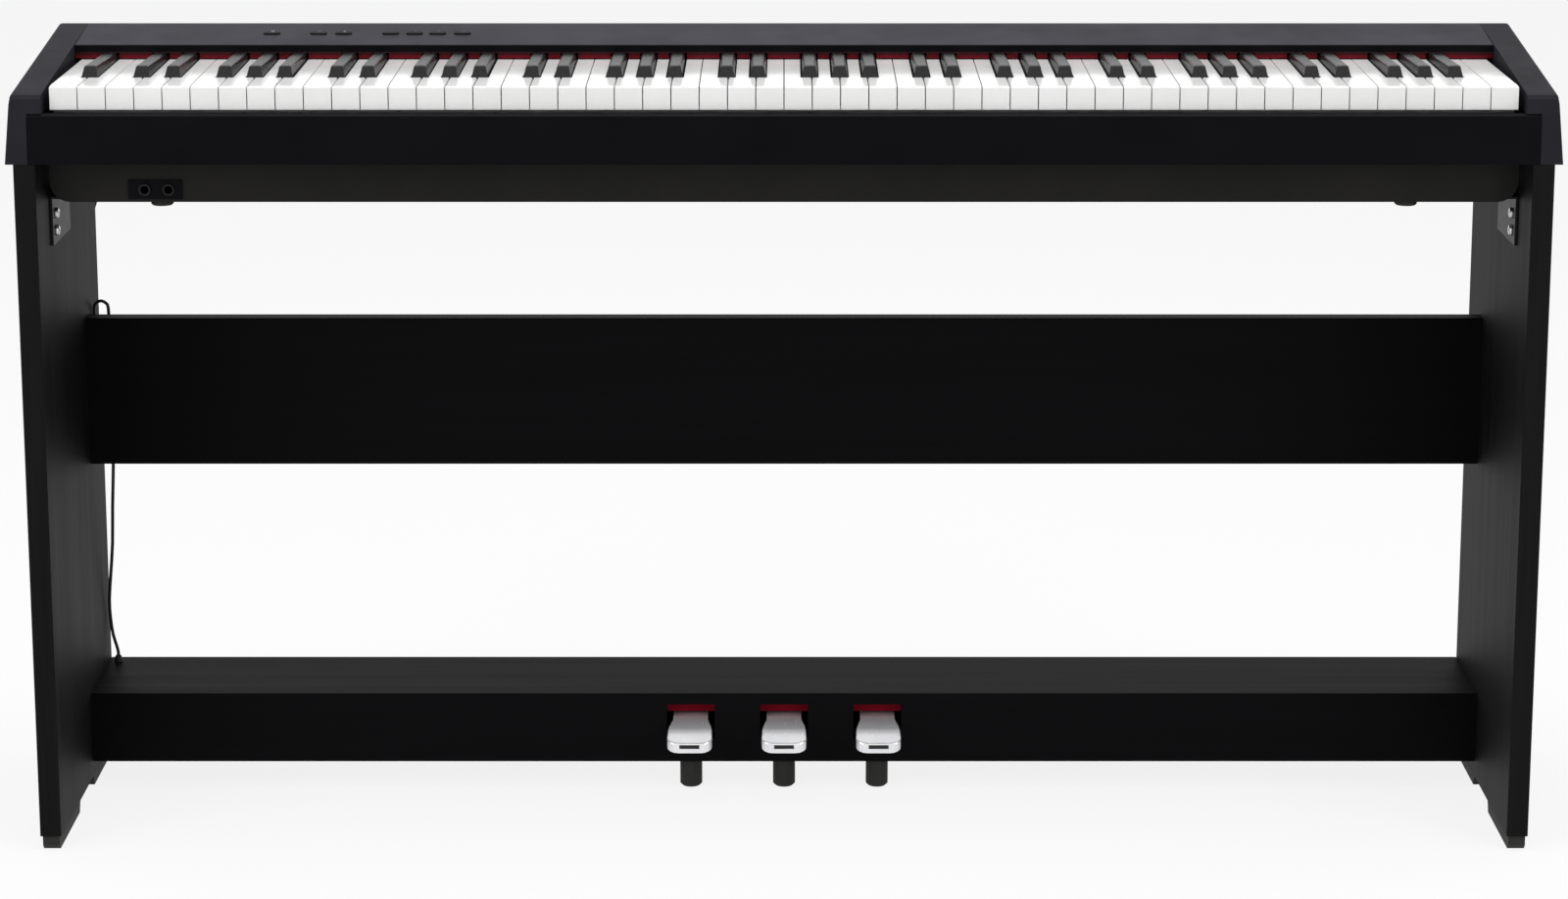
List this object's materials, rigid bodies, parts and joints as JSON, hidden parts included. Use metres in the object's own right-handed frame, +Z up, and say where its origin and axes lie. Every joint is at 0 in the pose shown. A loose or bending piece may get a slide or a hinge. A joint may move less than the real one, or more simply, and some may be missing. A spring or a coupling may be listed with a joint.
{
  "type": "stage piano",
  "caption": "Full-size slab digital piano on a three-panel wooden stand with a three-pedal unit, weighted keys, push buttons and a pedal cable.",
  "frame": {"origin": "centre of the footprint at floor level, without the pedal cable and its plug", "axes": "+X to the player's right, +Y to the back, +Z up"},
  "size_m": [1.295, 0.2985, 0.6859],
  "materials": {
    "ivory_white": "polished white key plastic",
    "ebony_black": "semi-gloss black key plastic",
    "panel_plastic": "fine-grained charcoal moulding",
    "black_plastic": "fine-grained black moulding",
    "warm_plastic": "warm black moulding",
    "board": "black laminated board",
    "red_felt": "red felt",
    "chrome": "polished chrome plate",
    "steel": "bright steel",
    "black_steel": "black painted steel",
    "rubber": "black rubber",
    "cable": "black cable sheath"
  },
  "bodies": {
    "root": {"cable_clip": "black_plastic", "cable_gland": "rubber", "case_foot_front_left": "rubber", "case_foot_front_right": "rubber", "case_foot_rear_left": "rubber", "case_foot_rear_right": "rubber", "control_panel_case": "panel_plastic", "end_cheek_left": "panel_plastic", "end_cheek_right": "panel_plastic", "foot_glide_left": "rubber", "foot_glide_right": "rubber", "front_rail": "black_plastic", "headphone_socket_panel": "black_plastic", "key_bed": "steel", "key_felt_strip": "red_felt", "lower_case": "warm_plastic", "middle_panel": "board", "pedal_axle": "steel", "pedal_box_back": "board", "pedal_box_base": "board", "pedal_box_front": "board", "pedal_box_lid": "board", "pedal_box_top": "board", "pedal_cable": "cable", "pedal_plug": "black_plastic", "pedal_stop_felt": "red_felt", "rear_socket_panel": "black_plastic", "side_panel_left": "board", "side_panel_right": "board", "speaker_left": "black_steel", "speaker_right": "black_steel", "stand_bracket_left": "black_steel", "stand_bracket_right": "black_steel"},
    "white_keys_1": {"white_keys_octave_1": "ivory_white"},
    "white_keys_2": {"white_keys_octave_2": "ivory_white"},
    "white_keys_3": {"white_keys_octave_3": "ivory_white"},
    "white_keys_4": {"white_keys_octave_4": "ivory_white"},
    "white_keys_5": {"white_keys_octave_5": "ivory_white"},
    "white_keys_6": {"white_keys_octave_6": "ivory_white"},
    "white_keys_7": {"white_keys_octave_7": "ivory_white"},
    "black_keys_1": {"black_keys_octave_1": "ebony_black"},
    "black_keys_2": {"black_keys_octave_2": "ebony_black"},
    "black_keys_3": {"black_keys_octave_3": "ebony_black"},
    "black_keys_4": {"black_keys_octave_4": "ebony_black"},
    "black_keys_5": {"black_keys_octave_5": "ebony_black"},
    "black_keys_6": {"black_keys_octave_6": "ebony_black"},
    "black_keys_7": {"black_keys_octave_7": "ebony_black"},
    "button_power": {"button_power": "black_plastic"},
    "button_volume_down": {"button_volume_down": "black_plastic"},
    "button_volume_up": {"button_volume_up": "black_plastic"},
    "button_tone": {"button_tone": "black_plastic"},
    "button_function": {"button_function": "black_plastic"},
    "button_metronome": {"button_metronome": "black_plastic"},
    "button_record": {"button_record": "black_plastic"},
    "pedal_soft": {"pedal_soft": "chrome"},
    "adjuster_foot_soft": {"adjuster_foot_soft": "rubber"},
    "pedal_sostenuto": {"pedal_sostenuto": "chrome"},
    "adjuster_foot_sostenuto": {"adjuster_foot_sostenuto": "rubber"},
    "pedal_sustain": {"pedal_sustain": "chrome"},
    "adjuster_foot_sustain": {"adjuster_foot_sustain": "rubber"}
  },
  "joints": [
    {"name": "white_keys_1_press", "type": "hinge", "parent": "root", "child": "white_keys_1", "pos_m": [0, 0.08675, 0.655], "axis": [1, 0, 0], "range_deg": [0, 2.6], "stiffness_Nm_per_rad": 8.4, "springref_deg": -7.45},
    {"name": "white_keys_2_press", "type": "hinge", "parent": "root", "child": "white_keys_2", "pos_m": [0, 0.08675, 0.655], "axis": [1, 0, 0], "range_deg": [0, 2.6], "stiffness_Nm_per_rad": 8.4, "springref_deg": -7.45},
    {"name": "white_keys_3_press", "type": "hinge", "parent": "root", "child": "white_keys_3", "pos_m": [0, 0.08675, 0.655], "axis": [1, 0, 0], "range_deg": [0, 2.6], "stiffness_Nm_per_rad": 8.4, "springref_deg": -7.45},
    {"name": "white_keys_4_press", "type": "hinge", "parent": "root", "child": "white_keys_4", "pos_m": [0, 0.08675, 0.655], "axis": [1, 0, 0], "range_deg": [0, 2.6], "stiffness_Nm_per_rad": 8.4, "springref_deg": -7.45},
    {"name": "white_keys_5_press", "type": "hinge", "parent": "root", "child": "white_keys_5", "pos_m": [0, 0.08675, 0.655], "axis": [1, 0, 0], "range_deg": [0, 2.6], "stiffness_Nm_per_rad": 8.4, "springref_deg": -7.45},
    {"name": "white_keys_6_press", "type": "hinge", "parent": "root", "child": "white_keys_6", "pos_m": [0, 0.08675, 0.655], "axis": [1, 0, 0], "range_deg": [0, 2.6], "stiffness_Nm_per_rad": 8.4, "springref_deg": -7.45},
    {"name": "white_keys_7_press", "type": "hinge", "parent": "root", "child": "white_keys_7", "pos_m": [0, 0.08675, 0.655], "axis": [1, 0, 0], "range_deg": [0, 2.6], "stiffness_Nm_per_rad": 8.4, "springref_deg": -7.45},
    {"name": "black_keys_1_press", "type": "hinge", "parent": "root", "child": "black_keys_1", "pos_m": [0, 0.08675, 0.655], "axis": [1, 0, 0], "range_deg": [0, 2.6], "stiffness_Nm_per_rad": 6, "springref_deg": -7.45},
    {"name": "black_keys_2_press", "type": "hinge", "parent": "root", "child": "black_keys_2", "pos_m": [0, 0.08675, 0.655], "axis": [1, 0, 0], "range_deg": [0, 2.6], "stiffness_Nm_per_rad": 6, "springref_deg": -7.45},
    {"name": "black_keys_3_press", "type": "hinge", "parent": "root", "child": "black_keys_3", "pos_m": [0, 0.08675, 0.655], "axis": [1, 0, 0], "range_deg": [0, 2.6], "stiffness_Nm_per_rad": 6, "springref_deg": -7.45},
    {"name": "black_keys_4_press", "type": "hinge", "parent": "root", "child": "black_keys_4", "pos_m": [0, 0.08675, 0.655], "axis": [1, 0, 0], "range_deg": [0, 2.6], "stiffness_Nm_per_rad": 6, "springref_deg": -7.45},
    {"name": "black_keys_5_press", "type": "hinge", "parent": "root", "child": "black_keys_5", "pos_m": [0, 0.08675, 0.655], "axis": [1, 0, 0], "range_deg": [0, 2.6], "stiffness_Nm_per_rad": 6, "springref_deg": -7.45},
    {"name": "black_keys_6_press", "type": "hinge", "parent": "root", "child": "black_keys_6", "pos_m": [0, 0.08675, 0.655], "axis": [1, 0, 0], "range_deg": [0, 2.6], "stiffness_Nm_per_rad": 6, "springref_deg": -7.45},
    {"name": "black_keys_7_press", "type": "hinge", "parent": "root", "child": "black_keys_7", "pos_m": [0, 0.08675, 0.655], "axis": [1, 0, 0], "range_deg": [0, 2.6], "stiffness_Nm_per_rad": 6, "springref_deg": -7.45},
    {"name": "button_power_press", "type": "slide", "parent": "root", "child": "button_power", "axis": [0, 0.1308, -0.9914], "range_m": [0, 0.001], "stiffness_N_per_m": 400, "springref_m": -0.0025},
    {"name": "button_volume_down_press", "type": "slide", "parent": "root", "child": "button_volume_down", "axis": [0, 0.1308, -0.9914], "range_m": [0, 0.001], "stiffness_N_per_m": 400, "springref_m": -0.0025},
    {"name": "button_volume_up_press", "type": "slide", "parent": "root", "child": "button_volume_up", "axis": [0, 0.1308, -0.9914], "range_m": [0, 0.001], "stiffness_N_per_m": 400, "springref_m": -0.0025},
    {"name": "button_tone_press", "type": "slide", "parent": "root", "child": "button_tone", "axis": [0, 0.1308, -0.9914], "range_m": [0, 0.001], "stiffness_N_per_m": 400, "springref_m": -0.0025},
    {"name": "button_function_press", "type": "slide", "parent": "root", "child": "button_function", "axis": [0, 0.1308, -0.9914], "range_m": [0, 0.001], "stiffness_N_per_m": 400, "springref_m": -0.0025},
    {"name": "button_metronome_press", "type": "slide", "parent": "root", "child": "button_metronome", "axis": [0, 0.1308, -0.9914], "range_m": [0, 0.001], "stiffness_N_per_m": 400, "springref_m": -0.0025},
    {"name": "button_record_press", "type": "slide", "parent": "root", "child": "button_record", "axis": [0, 0.1308, -0.9914], "range_m": [0, 0.001], "stiffness_N_per_m": 400, "springref_m": -0.0025},
    {"name": "pedal_soft_press", "type": "hinge", "parent": "root", "child": "pedal_soft", "pos_m": [-0.084, 0.09075, 0.0592], "axis": [1, 0, 0], "range_deg": [0, 5.5], "stiffness_Nm_per_rad": 8, "springref_deg": -6.88},
    {"name": "adjuster_foot_soft_rise", "type": "slide", "parent": "root", "child": "adjuster_foot_soft", "axis": [0, 0, 1], "range_m": [0, 0.005]},
    {"name": "pedal_sostenuto_press", "type": "hinge", "parent": "root", "child": "pedal_sostenuto", "pos_m": [0, 0.09075, 0.0592], "axis": [1, 0, 0], "range_deg": [0, 5.5], "stiffness_Nm_per_rad": 8, "springref_deg": -6.88},
    {"name": "adjuster_foot_sostenuto_rise", "type": "slide", "parent": "root", "child": "adjuster_foot_sostenuto", "axis": [0, 0, 1], "range_m": [0, 0.005]},
    {"name": "pedal_sustain_press", "type": "hinge", "parent": "root", "child": "pedal_sustain", "pos_m": [0.084, 0.09075, 0.0592], "axis": [1, 0, 0], "range_deg": [0, 5.5], "stiffness_Nm_per_rad": 8, "springref_deg": -6.88},
    {"name": "adjuster_foot_sustain_rise", "type": "slide", "parent": "root", "child": "adjuster_foot_sustain", "axis": [0, 0, 1], "range_m": [0, 0.005]}
  ]
}
